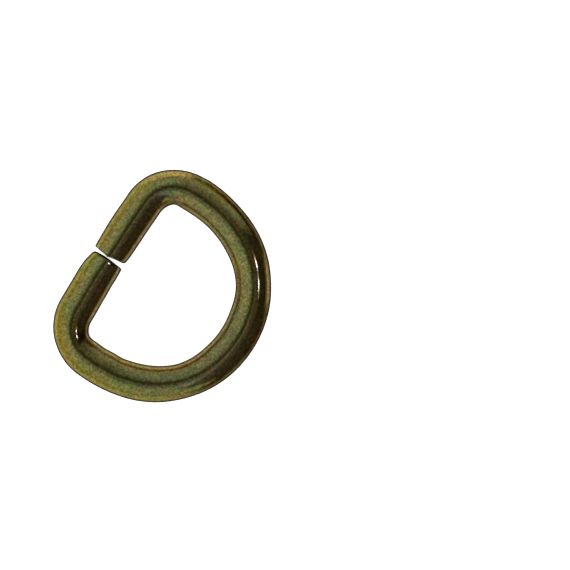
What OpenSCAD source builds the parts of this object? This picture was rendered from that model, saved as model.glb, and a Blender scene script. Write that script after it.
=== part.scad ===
// Open D ring: one round wire bent into a bar, two corner bends, two shoulders and a round bow.
// It lies flat on z = 0, with the bar along X and the bow towards +Y.
// The bar is split by a gap: end A is the cut end on its +X side, and end B the one on its -X side.

/* [Wire] */
// Diameter of the round wire
wire_d = 3; // [1.5:0.1:6]

/* [Opening] */
// Inside width of the ring along the bar
inner_w = 13.2; // [10:0.1:30]
// How far the bow's centre stands above the centres of the corner bends
bow_rise = 1.5; // [1:0.05:5]

/* [Bends] */
// Inside radius of the two corner bends
corner_r = 1.5; // [0.5:0.1:3]
// Extra bend radius of the shoulder on end A's side, over half the ring's width
shoulder_a_extra = 6.8; // [1:0.1:20]
// Extra bend radius of the shoulder on end B's side, over half the ring's width
shoulder_b_extra = 2.3; // [1:0.1:20]
// How far the bow's circle stands in from the widest line on end A's side
lean_a = 0.02; // [0.01:0.01:0.5]
// How far the bow's circle stands in from the widest line on end B's side
lean_b = 0.15; // [0.01:0.01:0.5]

/* [Bar] */
// Bend radius of the bar's two halves, which are all but straight
bar_r = 400; // [100:50:900]
// Angle by which end A's half of the bar slopes outward where it leaves its corner
slope_a = 2.4; // [0.5:0.1:6]
// Angle by which end B's half of the bar slopes outward where it leaves its corner
slope_b = 1.6; // [0.5:0.1:6]

/* [Ends] */
// Width of the gap where the two ends come closest
gap = 0.25; // [0.1:0.05:2]
// How far the gap's middle lies from the middle of the bar, towards end A
gap_offset = 0.2; // [-1.5:0.1:1.5]
// Angle by which the two nipped faces of end A slope back from the ridge between them
face_a_angle = 2; // [1:1:30]
// Angle by which the two nipped faces of end B slope back from the ridge between them
face_b_angle = 10; // [1:1:30]

/* [Hidden] */
$fn = 96;
// Radii and directions are whole numbers of these steps, so that bends meet in one exact section
length_step = 0.001;
angle_step = 0.0001;
// How deep inside the wire the core stays that runs through each joint between two bends
core_depth = 0.5;

function whole(value, step) = round(value / step) * step;
// Short side of a right-angled triangle, from its long side and its other short side
function other_side(long, short) = sqrt(long * long - short * short);
// Angle of a slope, from its height and its length
function slope_angle(height, length) = whole(asin(height / length), angle_step);
// Point at a distance from another, in a direction
function reach(from, distance, angle) = from + distance * [cos(angle), sin(angle)];

// A bend is the middle of its circle, its radius, and its first and last direction from that middle
function middle(bend) = bend[0];
function radius(bend) = bend[1];
function first(bend) = bend[2];
function last(bend) = bend[3];
function bar(bends) = bends[0];

wire_r = wire_d / 2;
half_w = inner_w / 2 + wire_r;
bend_r = whole(corner_r + wire_r, length_step);
bow_r = whole(half_w - (lean_a + lean_b) / 2, length_step);
shoulder_a_r = whole(half_w + shoulder_a_extra, length_step);
shoulder_b_r = whole(half_w + shoulder_b_extra, length_step);
bow_y = bend_r + bow_rise;
bow_shift = (lean_b - lean_a) / 2;

// Bends of one half of the ring, from its cut end to the bow's crown. It is worked out on the +X
// side, with Y counted from the bar. Each circle touches the next one from inside at their joint.
function half_bends(bow, shoulder_r, slope, tip_x) =
    let (
        bow_over = other_side(shoulder_r - bow_r, half_w - shoulder_r - bow.x),
        to_bow = slope_angle(bow_over, shoulder_r - bow_r),
        shoulder = reach(bow, bow_r - shoulder_r, to_bow),
        to_corner = slope_angle(bend_r - shoulder.y, shoulder_r - bend_r),
        corner = reach(shoulder, shoulder_r - bend_r, to_corner),
        to_bar = slope - 90,
        bar = reach(corner, bend_r - bar_r, to_bar),
        past_tip = slope_angle(tip_x - wire_r - bar.x, bar_r) - 90
    )
    [
        [bar, bar_r, past_tip, to_bar],
        [corner, bend_r, to_bar, to_corner],
        [shoulder, shoulder_r, to_corner, to_bow],
        [bow, bow_r, to_bow, 90],
    ];
// Height of the bar's middle line at a place along it
function bar_y(bends, x) = middle(bar(bends)).y - other_side(bar_r, x - middle(bar(bends)).x);
// Height at which a half of the bar lies furthest out
function lowest(bends, tip_x) = bar_y(bends, max(tip_x, middle(bar(bends)).x));

tip_a_x = gap / 2 + gap_offset;
tip_b_x = gap / 2 - gap_offset;
bends_a = half_bends([bow_shift, bow_y], shoulder_a_r, slope_a, tip_a_x);
bends_b = half_bends([-bow_shift, bow_y], shoulder_b_r, slope_b, tip_b_x);

// Outermost lines across the bar, with the origin in the middle between them
top_y = bow_y + bow_r + wire_r;
low_y = min(lowest(bends_a, tip_a_x), lowest(bends_b, tip_b_x)) - wire_r;

// Moves to a point in a coarse and a fine step
module place(point) {
    coarse = [whole(point.x, length_step), whole(point.y, length_step)];
    translate(coarse)
        translate(point - coarse)
            children();
}

// Stretch of wire along a bend
module stretch(bend) {
    place(middle(bend))
        rotate_extrude(angle = last(bend) - first(bend), start = first(bend))
            translate([radius(bend), 0])
                circle(wire_r);
}

// Core of the wire at the end of a bend, which keeps it in one piece with the next bend
module core(bend) {
    place(reach(middle(bend), radius(bend), last(bend)))
        sphere(wire_r - core_depth);
}

// Block past a cut end, whose two faces slope back by an angle from an upright ridge at the tip
module nipper(tip, angle) {
    back = wire_d * tan(angle);
    translate([tip.x, tip.y, -wire_d])
        linear_extrude(2 * wire_d)
            polygon([[0, 0], [back, -wire_d], [-wire_d, -wire_d], [-wire_d, wire_d], [back, wire_d]]);
}

// Half of the ring, from its cut end to the bow's crown
module half(bends, tip_x, face_angle) {
    difference() {
        for (b = bends) {
            stretch(b);
            core(b);
        }
        nipper([tip_x, bar_y(bends, tip_x)], face_angle);
    }
}

// The whole ring, one solid. End B's half is turned over, to lie on the -X side.
module ring() {
    color("#5f5a30")
        translate([0, -(top_y + low_y) / 2, wire_r])
            union() {
                half(bends_a, tip_a_x, face_a_angle);
                rotate([0, 180, 0])
                    half(bends_b, tip_b_x, face_b_angle);
            }
}

ring();
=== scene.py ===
import math

import bpy
import numpy as np
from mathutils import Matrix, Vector, noise


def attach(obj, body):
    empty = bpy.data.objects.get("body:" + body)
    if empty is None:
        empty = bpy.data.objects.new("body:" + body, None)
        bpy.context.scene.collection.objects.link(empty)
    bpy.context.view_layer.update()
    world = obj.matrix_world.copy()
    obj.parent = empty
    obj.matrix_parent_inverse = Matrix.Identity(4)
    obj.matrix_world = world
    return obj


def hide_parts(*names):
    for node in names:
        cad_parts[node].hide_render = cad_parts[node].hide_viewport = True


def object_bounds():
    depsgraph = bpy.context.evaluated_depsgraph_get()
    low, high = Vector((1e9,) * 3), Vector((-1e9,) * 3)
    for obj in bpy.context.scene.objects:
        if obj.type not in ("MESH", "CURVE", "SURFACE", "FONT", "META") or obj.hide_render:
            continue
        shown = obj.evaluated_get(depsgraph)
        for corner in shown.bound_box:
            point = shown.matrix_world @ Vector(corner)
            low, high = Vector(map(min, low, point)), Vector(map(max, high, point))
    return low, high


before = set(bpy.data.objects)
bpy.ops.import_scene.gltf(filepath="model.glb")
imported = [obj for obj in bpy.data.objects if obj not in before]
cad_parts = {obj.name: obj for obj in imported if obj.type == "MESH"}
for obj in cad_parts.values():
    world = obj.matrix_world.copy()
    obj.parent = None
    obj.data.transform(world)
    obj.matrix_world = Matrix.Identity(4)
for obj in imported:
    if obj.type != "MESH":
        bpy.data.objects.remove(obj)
cad_low, cad_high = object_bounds()

MM = 0.001
UM = 0.000001

# The ring's own sizes, as in the part
WIRE_D = 3.0 * MM
INNER_W = 13.2 * MM
BOW_RISE = 1.5 * MM
CORNER_R = 1.5 * MM
SHOULDER_A_EXTRA = 6.8 * MM
SHOULDER_B_EXTRA = 2.3 * MM
LEAN_A = 0.02 * MM
LEAN_B = 0.15 * MM
BAR_R = 400.0 * MM
SLOPE_A = math.radians(2.4)
SLOPE_B = math.radians(1.6)

WIRE_R = WIRE_D / 2
HALF_W = INNER_W / 2 + WIRE_R
BEND_R = CORNER_R + WIRE_R
BOW_R = HALF_W - (LEAN_A + LEAN_B) / 2
BOW_Y = BEND_R + BOW_RISE
BOW_SHIFT = (LEAN_B - LEAN_A) / 2

# Where the bar's baseline lies in the part's frame: the bow's outer crown touches the box's far side
BASE_Y = cad_high.y - (BOW_Y + BOW_R + WIRE_R)

# How the drawn wire departs from an even round one. Columns: place along the wire from the middle
# of the gap round by end A in mm, then how far the outer and the inner side stand out in um.
SWELLS = (
    (0.3, -300, -5),
    (0.6, -222, 5),
    (0.8, -150, 20),
    (1.0, -105, 28),
    (1.5, -12, 36),
    (2.2, 32, 0),
    (2.6, 27, 30),
    (3.5, 26, 26),
    (4.8, 52, 42),
    (5.5, 40, 22),
    (6.3, 0, -58),
    (7.2, -14, -130),
    (7.9, -42, -190),
    (8.5, -34, -132),
    (9.2, 10, -28),
    (9.8, 28, -10),
    (10.4, 25, -42),
    (11.2, 15, 34),
    (11.6, 5, 38),
    (12.3, -22, -30),
    (13.0, -28, 22),
    (14.2, -10, 18),
    (15.5, 13, -22),
    (17.4, -8, -106),
    (18.1, -10, -122),
    (20.0, 12, -45),
    (21.5, 12, 60),
    (24.0, 0, 74),
    (26.0, -4, 58),
    (27.4, -5, -50),
    (28.6, -28, -100),
    (30.3, 0, -62),
    (32.2, 13, 30),
    (33.4, 5, 33),
    (35.0, 4, 12),
    (37.3, 54, 32),
    (38.6, -4, -6),
    (39.3, -22, -135),
    (39.7, -30, -165),
    (41.0, 8, -58),
    (42.6, 14, 26),
    (43.3, 8, 17),
    (44.6, 32, 5),
    (45.3, 30, 10),
    (46.4, -18, 6),
    (47.0, -58, -14),
    (47.35, -75, -48),
    (47.6, -112, -85),
)
SWELL_BLUR = 0.26 * MM
# Plating and lacquer on the sides of the wire
SKIN = 0.030 * MM
# The step between the points of the wire's middle line
LINE_STEP = 0.02 * MM

# Outlines of the two cut faces seen from above. Columns: place across the wire, outward, and how far
# the face stands back from the middle of the gap, both in mm.
FACE_A = (
    (-1.6, 0.415), (-1.45, 0.395), (-1.2, 0.345), (-0.9, 0.316), (-0.5, 0.255), (-0.2, 0.222),
    (0.2, 0.193), (0.6, 0.194), (0.95, 0.208), (1.2, 0.24), (1.6, 0.27),
)
FACE_B = (
    (-1.6, 0.145), (-1.4, 0.115), (-1.2, 0.086), (-1.0, 0.056), (-0.7, 0.018), (-0.5, -0.004),
    (-0.3, -0.045), (-0.1, -0.10), (0.1, -0.14), (0.3, -0.12), (0.5, -0.09), (0.8, -0.058),
    (1.0, -0.040), (1.2, -0.003), (1.4, 0.03), (1.6, 0.07),
)
# The step at which an outline is read, and the number of steps over which its corners are smoothed
FACE_STEP = 0.01 * MM
FACE_BLUR = 3
# How much further back a face lies at its top and bottom than at half height
FACE_BULGE = 0.03 * MM
# The burr that stands out at the top of face B, and how sharply it falls off below the top
LIP_AT = 0.06 * MM
LIP_DEPTH = 0.075 * MM
LIP_WIDTH = 0.10 * MM
LIP_FALL = 6

# Rounding of the cut edges, along the wire and into it, on the outer side, on top and on the inner side
ROUND_A = (0.26 * MM, 0.30 * MM, 0.08 * MM)
ROUND_B = (0.08 * MM, 0.07 * MM, 0.25 * MM)
# Where the wire's section at an end is taken, and how far the rows of the mesh follow the cut face
END_SECTION = 0.2 * MM
END_REACH = 4.0 * MM
# A small worn facet on the rounding of end A: place, half size and slope, each along and across the
# wire, and how far past its edge it fades out
FACET_AT = (0.52 * MM, -0.40 * MM)
FACET_HALF = (0.075 * MM, 0.15 * MM)
FACET_SLOPES = (0.234, 0.255)
FACET_FADE = 1.5

# The mesh: rows along the wire and near its ends, points round it, and rings on the cut faces
ROWS = 820
FINE_ROWS = 44
FINE_REACH = 1.0 * MM
AROUND = 88
TOP_CROWDING = 0.30
ROUND_ROWS = 8
FACE_RINGS = 10

# Unevenness of the drawn and tumbled wire: depth and size of long and short waves
WAVES = ((9 * UM, 3.2 * MM), (1.2 * UM, 0.8 * MM))

OUTER, INNER = 1, -1
# Bands of colour on the outer or the inner flank. A few are the plating's own tone, and most are painted
# reflection and painted shade: the floor and the dark things round the ring as the metal would mirror them.
# The first table is its share by slope from the level, and the second its share by place along the wire in
# mm. Last comes its colour, as a factor on the brass.
TONE_AND_PAINTED_LIGHT_BANDS = (
    # Deep yellow on the outer flank, partly the plating's own tone and partly painted reflection of the
    # bright floor outside the ring
    (OUTER,
     ((0.50, 0), (0.58, 0.6), (0.64, 1), (0.69, 0.9), (0.74, 0.4), (0.79, 0)),
     ((0, 0.75), (4.8, 0.8), (6, 1.2), (8, 1.0), (11.3, 0.75), (14, 0.4), (16, 0.1), (20, 0),
      (39.4, 0), (41.3, 0.5), (43, 0.75), (47.7, 0.85)),
     (1.0, 0.93, 0.41)),
    # Painted reflection of the bright floor outside the ring: brighter gold next to the outer rim
    (OUTER,
     ((0.70, 0), (0.77, 0.9), (0.80, 1), (0.88, 1), (0.94, 0.4)),
     ((0, 0.7), (4.8, 0.7), (6.3, 1.1), (8.3, 0.5), (11.3, 0.65), (14, 0.3), (16, 0.1), (19, 0),
      (38.2, 0), (39, 0.6), (41.3, 0.6), (43, 0.65), (47.7, 0.75)),
     (1.42, 1.46, 1.25)),
    # Pale tan painted highlights: the bright floor as the outer flank would mirror it
    (OUTER,
     ((0.58, 0), (0.66, 0.95), (0.70, 1), (0.75, 0.55), (0.80, 0.3), (0.86, 0.4), (0.92, 0)),
     ((38.3, 0), (39.3, 0.9), (40.2, 0.9), (41.4, 0.35), (42.5, 0)),
     (2.0, 1.65, 2.2)),
    (OUTER,
     ((0.68, 0), (0.73, 0.8), (0.78, 1), (0.80, 0.75), (0.83, 0.45), (0.87, 0.25), (0.92, 0)),
     ((26.5, 0), (27.4, 0.85), (28, 1), (29.4, 1), (31.2, 0)),
     (2.9, 2.5, 3.6)),
    # Yellow, lower on the outer flank of both corner bends
    (OUTER,
     ((0.20, 0), (0.35, 0.7), (0.50, 1), (0.58, 0.8), (0.64, 0)),
     ((5.2, 0), (6.2, 1), (8, 1), (9, 0.2), (15, 0.4), (17, 0), (38.5, 0), (40, 0.5), (42, 0.5), (43, 0)),
     (1.04, 1.0, 0.58)),
    # Brown painted shade on the outer flank: the dark things beside the ring as it would mirror them
    (OUTER,
     ((0.60, 0), (0.68, 0.55), (0.74, 0.8), (0.79, 1), (0.83, 1.1), (0.86, 0.8), (0.885, 0.25), (0.92, 0)),
     ((16.5, 0), (18, 0.45), (20, 0.95), (21.5, 0.95), (23, 0)),
     (0.42, 0.37, 0.20)),
    (OUTER,
     ((0.60, 0), (0.68, 0.55), (0.74, 0.8), (0.79, 1.1), (0.85, 1.15), (0.89, 0.7), (0.92, 0.3),
      (0.97, 0.1)),
     ((21.5, 0), (23, 1), (25.5, 1.1), (26.8, 0.8), (27.5, 0)),
     (0.43, 0.33, 0.20)),
    (OUTER,
     ((0.60, 0), (0.68, 0.7), (0.74, 1), (0.81, 1.1), (0.85, 0.75), (0.885, 0.15), (0.92, 0)),
     ((29.8, 0), (31, 0.95), (33, 1), (34.5, 1.1), (36, 1.1), (37.5, 1), (38.3, 0.7), (39, 0)),
     (0.42, 0.29, 0.15)),
    (OUTER,
     ((0.77, 0), (0.785, 0.5), (0.815, 1), (0.85, 1), (0.875, 0.6), (0.905, 0.4), (0.935, 0)),
     ((18, 0), (20, 0.7), (22, 0.9), (24, 1), (26, 0.9), (27, 0), (29.8, 0), (31, 0.65), (36, 0.5),
      (37.5, 0)),
     (0.62, 0.68, 0.74)),
    # Duller yellow along the bar and the first shoulder
    (OUTER,
     ((0.56, 0), (0.62, 0.7), (0.67, 1), (0.695, 1), (0.725, 0.6), (0.755, 0.15), (0.78, 0)),
     ((4.8, 1), (6, 0.5), (9, 0.6), (11, 0.9), (13, 0.6), (15, 0), (42.2, 0), (43, 1)),
     (0.75, 0.76, 0.86)),
    # Sepia and other tones along the inner side, mostly painted shade: the shaded floor inside the ring as
    # the inner flank would mirror it
    (INNER,
     ((0.64, 0), (0.70, 0.7), (0.75, 1.1), (0.785, 1.15), (0.82, 0.5), (0.86, 0)),
     ((0, 0), (5, 0.1), (6.3, 0.7), (9, 1), (26.5, 1), (27.5, 0.7), (30, 0.7), (31, 1), (38, 1), (38.8, 0)),
     (0.72, 0.61, 0.64)),
    (INNER,
     ((0.73, 0), (0.79, 0.8), (0.83, 1), (0.88, 1.1), (0.92, 0.4), (0.95, 0)),
     ((26.5, 0), (27.5, 0.7), (30, 0.7), (31, 0), (38, 0), (38.8, 1), (40.3, 1), (41.5, 0)),
     (0.58, 0.52, 0.55)),
    (INNER,
     ((0.50, 0), (0.62, 1), (0.74, 1), (0.78, 0)),
     ((17, 0), (20, 1), (27, 1), (28, 0), (35, 0), (37, 0.8), (38.2, 0.8), (38.8, 0)),
     (0.82, 0.77, 0.85)),
    (INNER,
     ((0.50, 0), (0.58, 0.8), (0.70, 1), (0.78, 0.3), (0.84, 0)),
     ((4.8, 1), (5.8, 0), (41.5, 0), (42.6, 1)),
     (0.96, 0.80, 0.50)),
    (INNER,
     ((0.60, 0), (0.68, 0.8), (0.76, 1), (0.86, 0.5), (0.92, 0.2)),
     ((10.5, 0), (12.5, 1), (18, 1), (21, 0)),
     (1.06, 0.96, 0.72)),
    (INNER,
     ((0.15, 0), (0.30, 1), (0.58, 1), (0.66, 0)),
     ((9, 0), (12, 0.8), (18, 1), (24, 1), (27, 0)),
     (0.85, 0.87, 1.0)),
    # The inner side of the corner bend next to end B: painted shade further from the rim, and painted
    # highlights nearer it
    (INNER,
     ((0.44, 0), (0.51, 1), (0.62, 1), (0.67, 0)),
     ((38.6, 0), (39.3, 1), (40.3, 1), (41, 0)),
     (0.60, 0.61, 0.86)),
    (INNER,
     ((0.66, 0), (0.71, 1), (0.76, 1), (0.80, 0)),
     ((38.6, 0), (39.3, 1), (40.3, 1), (41, 0)),
     (1.25, 1.35, 1.8)),
    (INNER,
     ((0.56, 0), (0.62, 1), (0.73, 1), (0.78, 0)),
     ((40.6, 0), (41.2, 1), (42.2, 1), (43, 0)),
     (1.35, 1.0, 1.1)),
    # The inner side of the corner bend next to end A: painted shade in brown bands, and a painted tan
    # highlight next to the rim
    (INNER,
     ((0.56, 0), (0.64, 1), (0.80, 1), (0.86, 0)),
     ((7, 0), (7.7, 1), (9.3, 1), (10, 0)),
     (0.78, 0.60, 0.40)),
    (INNER,
     ((0.84, 0), (0.89, 1), (0.94, 1), (0.97, 0.3)),
     ((7, 0), (7.8, 1), (9.3, 1), (10, 0)),
     (1.65, 1.4, 1.75)),
    (INNER,
     ((0.20, 0), (0.32, 0.5), (0.42, 0.9), (0.50, 1), (0.64, 1), (0.74, 0.4), (0.80, 0)),
     ((7, 0), (7.7, 1), (8.7, 1), (9.9, 0)),
     (0.48, 0.35, 0.32)),
    (INNER,
     ((0.60, 0), (0.67, 0.6), (0.72, 1), (0.76, 1.6), (0.81, 1.45), (0.86, 0.9), (0.90, 0.3), (0.95, 0)),
     ((5, 0), (6.2, 1), (7.2, 1), (8, 0)),
     (0.58, 0.54, 0.48)),
    # Tan next to the inner rim: a painted highlight, the bright floor as the inner rim would mirror it
    (INNER,
     ((0.74, 0), (0.81, 0.6), (0.86, 1), (0.94, 1.1), (0.98, 0.7)),
     ((4.8, 1), (6, 0), (7.6, 0), (9.5, 0.7), (11, 0.95), (20, 0.85), (24, 0.55), (38, 0.5), (39, -0.2),
      (40.5, -0.2), (42.5, 1)),
     (1.5, 1.42, 1.85)),
)
# How dull the inner flank's finish is, by slope and by place along the wire in mm
DULL = (
    ((0.56, 0), (0.68, 1), (0.90, 1), (0.97, 0.3)),
    ((5, 0.15), (7, 0.4), (8.5, 1), (40, 1), (42, 0.4), (43.5, 0.15)),
)
# The cut edges are dark, from this share of their rounding on
CUT_COLOUR = (0.50, 0.40, 0.28)
CUT_FULL = 1 / 3


def reach(point, distance, angle):
    """The point at a distance from another, in a direction."""
    return point[0] + distance * math.cos(angle), point[1] + distance * math.sin(angle)


def half_bends(bow_x, shoulder_r, slope):
    """Bends of one half, from the gap to the crown: middle, radius, first and last direction."""
    bow = (bow_x, BOW_Y)
    over = math.sqrt((shoulder_r - BOW_R) ** 2 - (HALF_W - shoulder_r - bow_x) ** 2)
    to_bow = math.asin(over / (shoulder_r - BOW_R))
    shoulder = reach(bow, BOW_R - shoulder_r, to_bow)
    to_corner = math.asin((BEND_R - shoulder[1]) / (shoulder_r - BEND_R))
    corner = reach(shoulder, shoulder_r - BEND_R, to_corner)
    to_bar = slope - math.pi / 2
    bar = reach(corner, BEND_R - BAR_R, to_bar)
    tip = math.asin(-bar[0] / BAR_R) - math.pi / 2
    return [(bar, BAR_R, tip, to_bar), (corner, BEND_R, to_bar, to_corner),
            (shoulder, shoulder_r, to_corner, to_bow), (bow, BOW_R, to_bow, math.pi / 2)]


def centreline():
    """The wire's middle line from the middle of the gap by end A round to it again by end B."""
    half_a = half_bends(BOW_SHIFT, HALF_W + SHOULDER_A_EXTRA, SLOPE_A)
    half_b = half_bends(-BOW_SHIFT, HALF_W + SHOULDER_B_EXTRA, SLOPE_B)
    bends = [(middle, radius, 1, start, stop) for middle, radius, start, stop in half_a]
    bends += [(middle, radius, -1, stop, start) for middle, radius, start, stop in half_b[::-1]]
    points, sides = [], []
    for middle, radius, hand, start, stop in bends:
        count = max(3, int(abs(stop - start) * radius / LINE_STEP))
        turn = np.linspace(start, stop, count, endpoint=False)
        points.append(np.c_[hand * (middle[0] + radius * np.cos(turn)), middle[1] + radius * np.sin(turn)])
        sides.append(np.c_[hand * np.cos(turn), np.sin(turn)])
    points, sides = np.vstack(points), np.vstack(sides)
    along = np.r_[0, np.cumsum(np.hypot(*np.diff(points, axis=0).T))]
    return along, points + [0, BASE_Y], sides


LINE_ALONG, LINE_POINTS, LINE_SIDES = centreline()
LENGTH = LINE_ALONG[-1]


def smooth(values, width):
    """A row of values, smoothed over a width given in values."""
    side = int(3 * width)
    weights = np.exp(-0.5 * (np.arange(-side, side + 1) / width) ** 2)
    return np.convolve(np.pad(values, side, mode="edge"), weights / weights.sum(), mode="valid")


def swell(column):
    """How far one side of the wire stands out, by place along its middle line."""
    table = np.array(SWELLS)
    values = np.interp(LINE_ALONG, table[:, 0] * MM, table[:, column] * UM)
    return smooth(values, SWELL_BLUR / (LINE_ALONG[1] - LINE_ALONG[0])) + SKIN


LINE_OUT = swell(1)
LINE_IN = swell(2)


def wire_points(along, across, up):
    """Points in the part's frame, from the place along the wire, the place across it and the height."""
    # The line goes straight on past the middle of the gap
    x = np.interp(along, LINE_ALONG, LINE_POINTS[:, 0]) + along - np.clip(along, 0, LENGTH)
    y = np.interp(along, LINE_ALONG, LINE_POINTS[:, 1])
    side_x = np.interp(along, LINE_ALONG, LINE_SIDES[:, 0])
    side_y = np.interp(along, LINE_ALONG, LINE_SIDES[:, 1])
    return np.stack([x + side_x * across, y + side_y * across, WIRE_R + up], -1)


def section(along, turn, shrink=0.0):
    """Across and up of the wire's skin, at places along it and directions round it."""
    out = np.interp(along, LINE_ALONG, LINE_OUT)
    inner = np.interp(along, LINE_ALONG, LINE_IN)
    half = WIRE_R + (out + inner) / 2 - shrink
    height = WIRE_R - shrink
    return (out - inner) / 2 + half * np.cos(turn), height * np.sin(turn)


def face_place(table, across, up, lip):
    """How far a cut face stands back from the middle of the gap."""
    at, back = np.array(table).T * MM
    fine = np.arange(at[0], at[-1], FACE_STEP)
    curve = smooth(np.interp(fine, at, back), FACE_BLUR)
    place = np.interp(across, fine, curve) + FACE_BULGE * (up / WIRE_R) ** 2
    if lip:
        crown = np.clip(up / WIRE_R, 0, 1) ** LIP_FALL
        place -= LIP_DEPTH * crown * np.exp(-((across - LIP_AT) / LIP_WIDTH) ** 2)
    return place


def rounding(sizes, turn):
    """Rounding of a cut edge by the direction round the wire."""
    outer, top, inner = sizes
    flat = np.cos(turn)
    return top + (outer - top) * np.clip(flat, 0, 1) ** 2 + (inner - top) * np.clip(-flat, 0, 1) ** 2


def soft_step(value, low, high):
    """A soft step from 0 at low to 1 at high."""
    share = np.clip((value - low) / (high - low), 0, 1)
    return share * share * (3 - 2 * share)


def end_grids(table, sizes, turn, is_b):
    """Grids of one end from the skin inward: the edge's rows with their depth, then the face's rings."""
    size = rounding(sizes, turn)

    def place(back):
        return LENGTH - back if is_b else back

    across, up = section(np.full(AROUND, place(END_SECTION)), turn)
    edge = face_place(table, across, up, is_b) + size
    grids = []
    for k in range(1, ROUND_ROWS + 1):
        lean = k / ROUND_ROWS * math.pi / 2
        across, up = section(place(edge - size * math.sin(lean)), turn, size * (1 - math.cos(lean)))
        back = face_place(table, across, up, is_b) + size * (1 - math.sin(lean))
        grids.append((place(back), across, up, np.full(AROUND, k / ROUND_ROWS)))
    _, rim_across, rim_up, dark = grids[-1]
    centre = rim_across.mean()
    for share in 1 - np.arange(1, FACE_RINGS) / FACE_RINGS:
        across, up = centre + (rim_across - centre) * share, rim_up * share
        grids.append((place(face_place(table, across, up, is_b)), across, up, dark))
    across, up = np.array([centre]), np.array([0.0])
    return edge, grids, (place(face_place(table, across, up, is_b)), across, up, np.array([1.0]))


def wear_facet(along, across, up):
    """Flattens a small facet on the rounding of end A."""
    along = along - FACET_AT[0]
    across = across - FACET_AT[1]
    plane = FACET_SLOPES[0] * along + FACET_SLOPES[1] * across
    away = np.hypot(along / FACET_HALF[0], across / FACET_HALF[1])
    share = soft_step(away, FACET_FADE, 1.0) * (up > 0)
    level = (up - plane)[share == 1].mean()
    return up + (level + plane - up) * share


def build_wire():
    """The wire's mesh: its points and faces, and each point's place on the wire and depth in the cut."""
    even = np.arange(AROUND) / AROUND * 2 * math.pi
    turn = even + TOP_CROWDING * np.cos(even)
    edge_a, grids_a, tip_a = end_grids(FACE_A, ROUND_A, turn, False)
    edge_b, grids_b, tip_b = end_grids(FACE_B, ROUND_B, turn, True)
    base = np.r_[np.linspace(0, FINE_REACH, FINE_ROWS, endpoint=False),
                 np.linspace(FINE_REACH, LENGTH - FINE_REACH, ROWS, endpoint=False),
                 np.linspace(LENGTH - FINE_REACH, LENGTH, FINE_ROWS)]
    skin = base[:, None] + edge_a * np.clip(1 - base / END_REACH, 0, 1)[:, None] ** 2
    skin = skin - edge_b * np.clip(1 - (LENGTH - base) / END_REACH, 0, 1)[:, None] ** 2
    grids = grids_a[::-1] + [(row, *section(row, turn), np.zeros(AROUND)) for row in skin] + grids_b
    rows = len(grids)
    along, across, up, cut = np.concatenate([np.stack(grid) for grid in grids + [tip_a, tip_b]], axis=1)
    up = wear_facet(along, across, up)

    faces = []
    for i in range(rows - 1):
        for j in range(AROUND):
            k = (j + 1) % AROUND
            faces.append((i * AROUND + j, i * AROUND + k, (i + 1) * AROUND + k, (i + 1) * AROUND + j))
    first, last = rows * AROUND, rows * AROUND + 1
    for j in range(AROUND):
        k = (j + 1) % AROUND
        faces.append((first, k, j))
        faces.append((last, (rows - 1) * AROUND + j, (rows - 1) * AROUND + k))
    return wire_points(along, across, up), faces, (along, across, up, cut)


def patina_and_painted_light(along, across, up, cut):
    """Colour factor at places on the wire, partly the plating's own tone and mostly painted reflection and
    shade, and the dullness of its finish.
    """
    slope = np.sqrt(np.clip(1 - (up / WIRE_R) ** 2, 0, 1))

    def share(side, by_slope, by_place):
        part = np.interp(slope, *np.array(by_slope).T) * np.interp(along / MM, *np.array(by_place).T)
        return part * (np.sign(across) == side)

    colour = np.ones((len(along), 3))
    # Most of these bands are painted reflection and painted shade; a few are the plating's own tone
    for side, by_slope, by_place, factor in TONE_AND_PAINTED_LIGHT_BANDS:
        colour *= 1 + share(side, by_slope, by_place)[:, None] * (np.array(factor) - 1)
    colour *= 1 + np.clip(cut / CUT_FULL, 0, 1)[:, None] * (np.array(CUT_COLOUR) - 1)
    return colour, share(INNER, *DULL)


def uneven(points, normals):
    """Moves the skin in and out by long and short waves, and keeps it on the floor."""
    moved = points.copy()
    for i, (p, n) in enumerate(zip(points, normals)):
        shift = 0.0
        for depth, size in WAVES:
            shift += depth * noise.noise(Vector(p) / size)
        moved[i] = p + n * shift
    moved[:, 2] = np.clip(moved[:, 2], 0.0, WIRE_D)
    return moved


def make_mesh(name, points, faces):
    """A smooth mesh object from points and faces."""
    mesh = bpy.data.meshes.new(name)
    mesh.from_pydata([tuple(p) for p in points], [], faces)
    mesh.update()
    obj = bpy.data.objects.new(name, mesh)
    bpy.context.scene.collection.objects.link(obj)
    mesh.shade_smooth()
    return obj


def vertex_normals(mesh):
    """The normals of a mesh's points, as rows."""
    normals = np.zeros(len(mesh.vertices) * 3)
    mesh.vertices.foreach_get("normal", normals)
    return normals.reshape(-1, 3)


def make_ring():
    """The bent wire, with its patina and painted reflection and shade stored on its points."""
    points, faces, places = build_wire()
    ring = make_mesh("bent_wire", points, faces)
    points = uneven(points, vertex_normals(ring.data))
    ring.data.vertices.foreach_set("co", points.ravel())
    ring.data.update()
    # The stored colour factors are mostly painted reflection and painted shade, with some of the plating's
    # own tone
    colour, dull = patina_and_painted_light(*places)
    opaque = np.ones((len(colour), 1))
    stored = ring.data.attributes.new("patina_and_painted_light", "FLOAT_COLOR", "POINT")
    stored.data.foreach_set("color", np.hstack([colour, opaque]).ravel())
    stored = ring.data.attributes.new("dull", "FLOAT", "POINT")
    stored.data.foreach_set("value", dull)
    ring.data.materials.append(brass())
    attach(ring, "root")
    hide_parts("ring")


WHITE = (1.0, 1.0, 1.0, 1.0)


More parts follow.
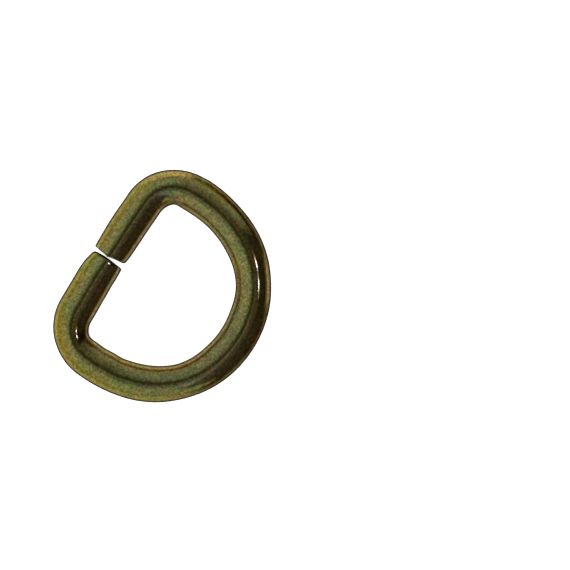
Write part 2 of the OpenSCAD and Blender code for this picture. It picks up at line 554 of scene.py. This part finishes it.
class Nodes:
    """Short hand for building a node tree."""

    def __init__(self, tree):
        self.tree = tree
        self.tree.nodes.clear()

    def add(self, kind, inputs=None, **settings):
        """A node with its settings, and its inputs as values or links."""
        node = self.tree.nodes.new(kind)
        for key, value in settings.items():
            setattr(node, key, value)
        for key, value in (inputs or {}).items():
            self.put(node, key, value)
        return node

    def put(self, node, key, value):
        """Links a socket to an input, or sets its value."""
        socket = node.inputs[key]
        if isinstance(value, bpy.types.NodeSocket):
            self.tree.links.new(value, socket)
        else:
            socket.default_value = value

    def math(self, operation, *values):
        """The result of a sum on plain values."""
        node = self.add("ShaderNodeMath", dict(enumerate(values)), operation=operation)
        return node.outputs[0]

    def product(self, first, *others):
        """The product of several values."""
        for other in others:
            first = self.math("MULTIPLY", first, other)
        return first

    def vector(self, operation, *values):
        """The result of a sum on vectors or colours."""
        node = self.add("ShaderNodeVectorMath", dict(enumerate(values)), operation=operation)
        return node.outputs["Value" if operation in ("DOT_PRODUCT", "LENGTH", "DISTANCE") else "Vector"]

    def scaled(self, colour, factor):
        """A colour times one value."""
        node = self.add("ShaderNodeVectorMath", {0: colour, "Scale": factor}, operation="SCALE")
        return node.outputs["Vector"]

    def step(self, value, low, high, out_low=0.0, out_high=1.0):
        """A soft step: out_low at low and before it, out_high at high and past it."""
        node = self.add("ShaderNodeMapRange", {"Value": value, "From Min": low, "From Max": high,
                                               "To Min": out_low, "To Max": out_high},
                        interpolation_type="SMOOTHSTEP")
        return node.outputs[0]

    def mix(self, share, a, b, within=True):
        """A mix of two colours. Within keeps the second one's share between 0 and 1."""
        node = self.add("ShaderNodeMix", data_type="RGBA", clamp_factor=within)
        for key, value in ((0, share), (6, a), (7, b)):
            self.put(node, key, value)
        return node.outputs[2]

    def tint(self, colour, mask, factor):
        """Multiplies a colour where a mask is 1."""
        return self.vector("MULTIPLY", colour, self.mix(mask, WHITE, (*factor, 1)))

    def noise(self, vector, scale, detail, rough, warp):
        """A noise between 0 and 1."""
        node = self.add("ShaderNodeTexNoise", {"Vector": vector, "Scale": scale, "Detail": detail,
                                               "Roughness": rough, "Distortion": warp})
        return node.outputs["Fac"]


# The mottling's noises, from broad to fine: scale per metre, detail, roughness and warp
NOISES = {
    "broad": (420.0, 2.0, 0.5, 0.0),
    "patch": (1150.0, 2.0, 0.55, 0.3),
    "blotch": (2300.0, 2.0, 0.6, 0.3),
    "grain": (4400.0, 2.0, 0.6, 0.0),
    "speck": (8500.0, 1.0, 0.5, 0.0),
}
OLIVE = (0.218, 0.170, 0.052, 1)
GREEN = (0.172, 0.180, 0.058, 1)
TAN = (0.266, 0.172, 0.066, 1)
YELLOW = (0.224, 0.186, 0.036, 1)
# Colours laid over the olive. Columns: the noise, where in it the colour starts and where it is full,
# its share where it is full, and the colour.
MOTTLES = (
    ("broad", 0.36, 0.62, 1.0, GREEN),
    ("patch", 0.44, 0.72, 0.70, TAN),
    ("patch", 0.54, 0.28, 0.60, YELLOW),
    ("blotch", 0.46, 0.70, 0.25, GREEN),
)
# Between these two values of a noise lies its whole effect on brightness, on the stored bands of tone and
# painted light, and on roughness, which are given as they are at the low and at the high value
NOISE_RANGE = (0.3, 0.7)
BRIGHTNESS = (("grain", 0.70, 1.30), ("speck", 0.80, 1.20), ("blotch", 1.13, 0.87))
TONE_AND_PAINTED_LIGHT_SHARE = (0.85, 1.15)
ROUGHNESS = (0.065, 0.10)
# Roughness that is added where the finish is dull
DULL_ROUGHNESS = 0.20
GRAIN_BUMP = {"Strength": 0.04, "Distance": 0.02 * MM}
EDGE_TINT = (0.72, 0.68, 0.65, 1)


def brass():
    """Antique brass: glossy olive-yellow metal, mottled towards brown and green, times the stored bands of
    tone and painted reflection and shade.
    """
    material = bpy.data.materials.new("antique_brass")
    material.use_nodes = True
    n = Nodes(material.node_tree)
    place = n.add("ShaderNodeTexCoord").outputs["Object"]
    noises = {name: n.noise(place, *settings) for name, settings in NOISES.items()}
    colour = OLIVE
    for name, start, full, share, over in MOTTLES:
        colour = n.mix(n.step(noises[name], start, full, 0.0, share), colour, over)
    light = n.product(*(n.step(noises[name], *NOISE_RANGE, low, high) for name, low, high in BRIGHTNESS))
    colour = n.scaled(colour, light)
    # The stored bands: painted reflection and painted shade, with some of the plating's own tone
    tone_and_painted_light = n.add("ShaderNodeAttribute", attribute_name="patina_and_painted_light").outputs["Color"]
    tone_and_painted_light = n.mix(n.step(noises["blotch"], *NOISE_RANGE, *TONE_AND_PAINTED_LIGHT_SHARE), WHITE, tone_and_painted_light, within=False)
    colour = n.vector("MULTIPLY", colour, tone_and_painted_light)
    dull = n.add("ShaderNodeAttribute", attribute_name="dull").outputs["Fac"]
    rough = n.step(noises["grain"], *NOISE_RANGE, *ROUGHNESS)
    rough = n.math("MULTIPLY_ADD", dull, DULL_ROUGHNESS, rough)
    bump = n.add("ShaderNodeBump", {**GRAIN_BUMP, "Height": noises["grain"]})
    shader = n.add("ShaderNodeBsdfPrincipled", {
        "Base Color": colour, "Metallic": 1.0, "Roughness": rough, "Normal": bump.outputs[0],
        "Specular Tint": EDGE_TINT,
    })
    n.add("ShaderNodeOutputMaterial", {"Surface": shader.outputs[0]})
    return material


def paper():
    """The pale floor."""
    material = bpy.data.materials.new("pale_floor")
    material.use_nodes = True
    n = Nodes(material.node_tree)
    shader = n.add("ShaderNodeBsdfPrincipled", {
        "Base Color": (0.86, 0.86, 0.86, 1), "Roughness": 0.8, "Specular IOR Level": 0.1,
        "Emission Color": WHITE, "Emission Strength": 0.82,
    })
    n.add("ShaderNodeOutputMaterial", {"Surface": shader.outputs[0]})
    return material


# The studio. The photograph's right and up, as directions on the floor
TURN = math.radians(122.444)
RIGHT = Vector((math.cos(TURN), math.sin(TURN), 0))
UP = Vector((-math.sin(TURN), math.cos(TURN), 0))

# The floor: radii of its level rings, the radius of its rise, the angle of the rise's first ring and
# the number of its rings, and the points round it
FLOOR_RINGS = (0.0, 0.3, 0.45)
FLOOR_RISE = 0.5
RISE_FROM = 0.1
RISE_RINGS = 12
FLOOR_AROUND = 64


def make_floor():
    """A pale floor that rises to a low wall far out. The metal mirrors the dome's lower half instead."""
    rings = [(radius, 0.0) for radius in FLOOR_RINGS]
    rings += [(FLOOR_RINGS[-1] + FLOOR_RISE * math.sin(a), FLOOR_RISE * (1 - math.cos(a)))
              for a in np.linspace(RISE_FROM, math.pi / 2, RISE_RINGS)]
    turns = np.arange(FLOOR_AROUND) / FLOOR_AROUND * 2 * math.pi
    points = [(r * math.cos(t), r * math.sin(t), z) for r, z in rings for t in turns]
    faces = []
    for i in range(len(rings) - 1):
        for j in range(FLOOR_AROUND):
            k = (j + 1) % FLOOR_AROUND
            near, far = i * FLOOR_AROUND, (i + 1) * FLOOR_AROUND
            faces.append((near + j, far + j, far + k, near + k) if i else (near + j, far + j, far + k))
    floor = make_mesh("floor", np.array(points), faces)
    floor.data.materials.append(paper())
    floor.visible_glossy = False


# The dome's brightness by the slope of a surface that mirrors it straight up. Below 0.05 lies the
# camera, at 0.7 the horizon, and past it the floor, which ends in the ring's own contact shadow.
DOME_STOPS = (
    (0.00, (0.175, 0.195, 0.165)),
    (0.04, (0.200, 0.225, 0.200)),
    (0.08, (0.315, 0.360, 0.350)),
    (0.125, (0.455, 0.540, 0.570)),
    (0.175, (0.590, 0.700, 0.800)),
    (0.25, (0.635, 0.755, 0.880)),
    (0.35, (0.665, 0.780, 0.870)),
    (0.47, (0.685, 0.805, 0.890)),
    (0.58, (0.695, 0.770, 0.820)),
    (0.65, (0.820, 0.855, 0.760)),
    (0.70, (0.930, 0.925, 0.650)),
    (0.76, (1.020, 0.965, 0.670)),
    (0.80, (1.130, 1.050, 0.790)),
    (0.845, (1.250, 1.150, 0.980)),
    (0.88, (1.100, 1.010, 0.900)),
    (0.905, (0.800, 0.760, 0.640)),
    (0.925, (0.480, 0.450, 0.330)),
    (0.945, (0.230, 0.210, 0.130)),
    (0.97, (0.070, 0.060, 0.030)),
)
# Slopes at which the part above the horizon ends, as a soft step
HORIZON = (0.72, 0.68)

# Tinted places of the dome. Each has the soft steps that bound it and a colour factor. A step's
# columns: compass direction from the photograph's right in degrees (or the slope itself, all round),
# and how far towards it, as a slope, the tint starts and is full.
SLOPE = "slope"
TINTS = (
    # The room's left
    (((190, 0.02, 0.36), (SLOPE, *HORIZON)), (1.24, 1.20, 1.16)),
    # Above the camera and below it
    (((95, 0.02, 0.10), (SLOPE, 0.28, 0.14)), (0.82, 0.86, 0.90)),
    (((-78, 0.07, 0.12), (SLOPE, 0.28, 0.18)), (0.62, 0.66, 0.76)),
    # The camera's arm
    (((142, 0.24, 0.0), (142, -0.10, -0.045), (52, 0.62, 0.28), (52, -0.07, 0.05)), (0.54, 0.49, 0.42)),
    # A slightly violet strip along the dark side's left edge, low down
    (((0, 0.03, 0.07), (0, 0.16, 0.12), (90, -0.02, -0.08), (90, -0.34, -0.2)), (1.14, 1.0, 1.40)),
)

# The dark side's left edge: its place, and how it draws back and softens where it lies lower down
LEFT_EDGE_AT = 0.112
LEFT_EDGE_LOW = 0.44
LEFT_EDGE_LEAN = 1.62
LEFT_EDGE_SPREAD = 14.0
LEFT_EDGE_SOFT = (-0.04, 0.035)
# Its upper edge: its height and how it climbs to the right, and how it softens with the slope
TOP_EDGE_AT = 0.04
TOP_EDGE_CLIMB = 0.62
TOP_EDGE_SPREAD = 1.2
TOP_EDGE_SPREAD_OVER = (0.3, 0.6)
TOP_EDGE_SOFT = (-0.05, 0.04)
# Its colours in its middle and its outer parts, and next to its left edge below and above
DARK_MIDDLE = (0.074, 0.064, 0.040, 1)
DARK_OUTER = (0.118, 0.100, 0.112, 1)
DARK_OUTER_OVER = (0.08, 0.28)
DARK_EDGE_LOW = (0.22, 0.205, 0.235, 1)
DARK_EDGE_HIGH = (0.17, 0.125, 0.08, 1)
DARK_EDGE_OVER = (0.24, -0.03)
DARK_HIGH_OVER = (-0.06, 0.0)
# The lamp's glow on the dark side round it: its colour, its place as slopes right and up, and the
# distances at which it starts and is full
GLOW = (0.085, 0.065, 0.060)
GLOW_AT = (0.25, -0.03, 0.0)
GLOW_REACH = (0.21, 0.03)
# Past the horizon the dark side goes on as the floor's far part. Cosines bound it round its direction.
FAR_DIRECTION = -9
FAR_WIDE = (0.3, 0.7)
FAR_TINT = (0.70, 0.64, 0.74)
FAR_NARROW = (0.39, 0.63)
FAR_DARK_OVER = (0.835, 0.735)
FAR_DARK = (0.15, 0.115, 0.062, 1)
# The least slope that a cosine is worked out with, so that nothing is divided by 0
LEAST_SLOPE = 0.001


def make_dome():
    """A soft cool dome with a dark side to the photograph's right, and a dark patch overhead."""
    world = bpy.data.worlds.new("soft_dome")
    world.use_nodes = True
    n = Nodes(world.node_tree)
    ray = n.vector("NORMALIZE", n.add("ShaderNodeTexCoord").outputs["Generated"])
    halfway = n.vector("NORMALIZE", n.vector("ADD", ray, (0.0, 0.0, 1.0)))
    right = n.vector("DOT_PRODUCT", halfway, tuple(RIGHT))
    up = n.vector("DOT_PRODUCT", halfway, tuple(UP))
    slope = n.math("SQRT", n.math("ADD", n.math("MULTIPLY", right, right), n.math("MULTIPLY", up, up)))
    above = n.step(slope, *HORIZON)
    below = n.step(slope, *HORIZON[::-1])

    def toward(degrees):
        """How far a place lies towards a compass direction."""
        a = math.radians(degrees)
        return n.math("ADD", n.math("MULTIPLY", right, math.cos(a)), n.math("MULTIPLY", up, math.sin(a)))

    def bounded(steps):
        """1 within all of a row of soft steps."""
        return n.product(*(n.step(slope if to == SLOPE else toward(to), start, full)
                           for to, start, full in steps))

    def dark_side():
        """The mask of the dark side, and its colour."""
        low = n.math("MAXIMUM", n.math("SUBTRACT", toward(270), LEFT_EDGE_LOW), 0.0)
        past_left = n.math("SUBTRACT", right, n.math("MULTIPLY_ADD", low, LEFT_EDGE_LEAN, LEFT_EDGE_AT))
        left = n.math("DIVIDE", past_left, n.math("MULTIPLY_ADD", low, LEFT_EDGE_SPREAD, 1.0))
        under_top = n.math("SUBTRACT", n.math("MULTIPLY_ADD", right, TOP_EDGE_CLIMB, TOP_EDGE_AT), up)
        spread = n.math("MULTIPLY_ADD", n.step(slope, *TOP_EDGE_SPREAD_OVER), TOP_EDGE_SPREAD, 1.0)
        top = n.math("DIVIDE", under_top, spread)
        mask = n.product(above, n.step(left, *LEFT_EDGE_SOFT), n.step(top, *TOP_EDGE_SOFT))

        colour = n.mix(n.step(n.math("ABSOLUTE", up), *DARK_OUTER_OVER), DARK_MIDDLE, DARK_OUTER)
        edge = n.mix(n.step(up, *DARK_HIGH_OVER), DARK_EDGE_LOW, DARK_EDGE_HIGH)
        colour = n.mix(n.step(past_left, *DARK_EDGE_OVER), colour, edge)
        place = n.add("ShaderNodeCombineXYZ", {"X": right, "Y": up}).outputs[0]
        glow = n.step(n.vector("DISTANCE", place, GLOW_AT), *GLOW_REACH)
        return mask, n.vector("ADD", colour, n.scaled(GLOW, glow))

    ramp = n.add("ShaderNodeValToRGB", {"Fac": slope})
    ramp.color_ramp.interpolation = "CARDINAL"
    elements = ramp.color_ramp.elements
    # The stops are added anywhere, then put in their places, and coloured once they are in order
    while len(elements) < len(DOME_STOPS):
        elements.new(0.5)
    for element, (at, _) in zip(elements, DOME_STOPS):
        element.position = at
    for element, (_, colour) in zip(elements, DOME_STOPS):
        element.color = (*colour, 1)
    light = ramp.outputs[0]
    for steps, factor in TINTS:
        light = n.tint(light, bounded(steps), factor)
    mask, dark = dark_side()
    light = n.mix(mask, light, dark)

    far = n.math("DIVIDE", toward(FAR_DIRECTION), n.math("MAXIMUM", slope, LEAST_SLOPE))
    light = n.tint(light, n.product(below, n.step(far, *FAR_WIDE)), FAR_TINT)
    far_dark = n.product(below, n.step(far, *FAR_NARROW), n.step(slope, *FAR_DARK_OVER))
    light = n.mix(far_dark, light, FAR_DARK)
    shader = n.add("ShaderNodeBackground", {"Color": light, "Strength": 1.0})
    n.add("ShaderNodeOutputWorld", {"Surface": shader.outputs[0]})
    bpy.context.scene.world = world


# How far the lamp's first pane is, and how far each next pane lies behind the one before
LAMP_FAR = 0.5
LAMP_APART = 0.01
# The lamp's two hot panes and the warm one behind them. Columns: compass angle from the photograph's
# right, angle from straight up, width and height as angles, all in degrees, and brightness. Their
# colour undoes that of the brass, in which they look white.
PANES = (
    (13.2, 36.2, 3.1, 5.6, (14.0, 14.5, 46.0)),
    (1.2, 36.0, 2.1, 4.8, (14.0, 14.5, 46.0)),
    (6.5, 36.0, 16.0, 4.4, (1.25, 0.90, 1.3)),
)
# How far the overhead light is, and its width
OVERHEAD_FAR = 0.7
OVERHEAD_SIZE = 0.8


def aim(obj, place, target):
    """Puts a lamp at a place and turns it to a target."""
    obj.location = place
    obj.rotation_mode = "QUATERNION"
    obj.rotation_quaternion = (Vector(target) - Vector(place)).to_track_quat("-Z", "Y")


def area_light(name, place, size, brightness):
    """An area light of a stated brightness and colour, as seen in a mirror."""
    data = bpy.data.lights.new(name, "AREA")
    data.shape = "RECTANGLE"
    data.size, data.size_y = size
    peak = max(brightness)
    data.energy = peak * math.pi * size[0] * size[1]
    data.color = [b / peak for b in brightness]
    light = bpy.data.objects.new(name, data)
    bpy.context.scene.collection.objects.link(light)
    aim(light, place, (0, 0, 0))
    light.visible_camera = False
    return light


def make_lamp():
    """The small lamp, which only the metal mirrors."""
    for k, (compass, lean, wide, high, brightness) in enumerate(PANES):
        a, b = math.radians(compass), math.radians(lean)
        level = RIGHT * math.cos(a) + UP * math.sin(a)
        far = LAMP_FAR + LAMP_APART * k
        place = (level * math.sin(b) + Vector((0, 0, math.cos(b)))) * far
        size = (far * math.radians(wide), far * math.radians(high))
        light = area_light(f"lamp_{k}", place, size, brightness)
        light.visible_diffuse = False


def make_overhead():
    """A wide soft light for the floor alone."""
    size = (OVERHEAD_SIZE, OVERHEAD_SIZE)
    light = area_light("overhead", Vector((0, 0, OVERHEAD_FAR)), size, (1.0, 1.0, 1.0))
    light.visible_glossy = False


# The camera's height over the wire's middle, its sensor's width in mm, and the range that it sees
CAMERA_FAR = 0.6
SENSOR = 36.0
CLIP = (0.01, 10.0)
# The photograph's width and the wire's thickness in it, in pixels
FRAME_PIXELS = 570
WIRE_PIXELS = 36.4
# The photograph's middle, in the part's frame
FRAME_MIDDLE = (-5.760 * MM, 13.413 * MM + BASE_Y)


def make_camera():
    """The camera, straight above the photograph's middle."""
    frame_width = FRAME_PIXELS / WIRE_PIXELS * WIRE_D
    data = bpy.data.cameras.new("camera")
    data.sensor_width = SENSOR
    data.lens = SENSOR * CAMERA_FAR / frame_width
    data.clip_start, data.clip_end = CLIP
    camera = bpy.data.objects.new("camera", data)
    camera.location = (*FRAME_MIDDLE, WIRE_R + CAMERA_FAR)
    camera.rotation_euler = (0, 0, TURN)
    bpy.context.scene.collection.objects.link(camera)
    bpy.context.scene.camera = camera


make_ring()
make_floor()
make_dome()
make_lamp()
make_overhead()
make_camera()
bpy.context.scene.view_settings.view_transform = "Standard"
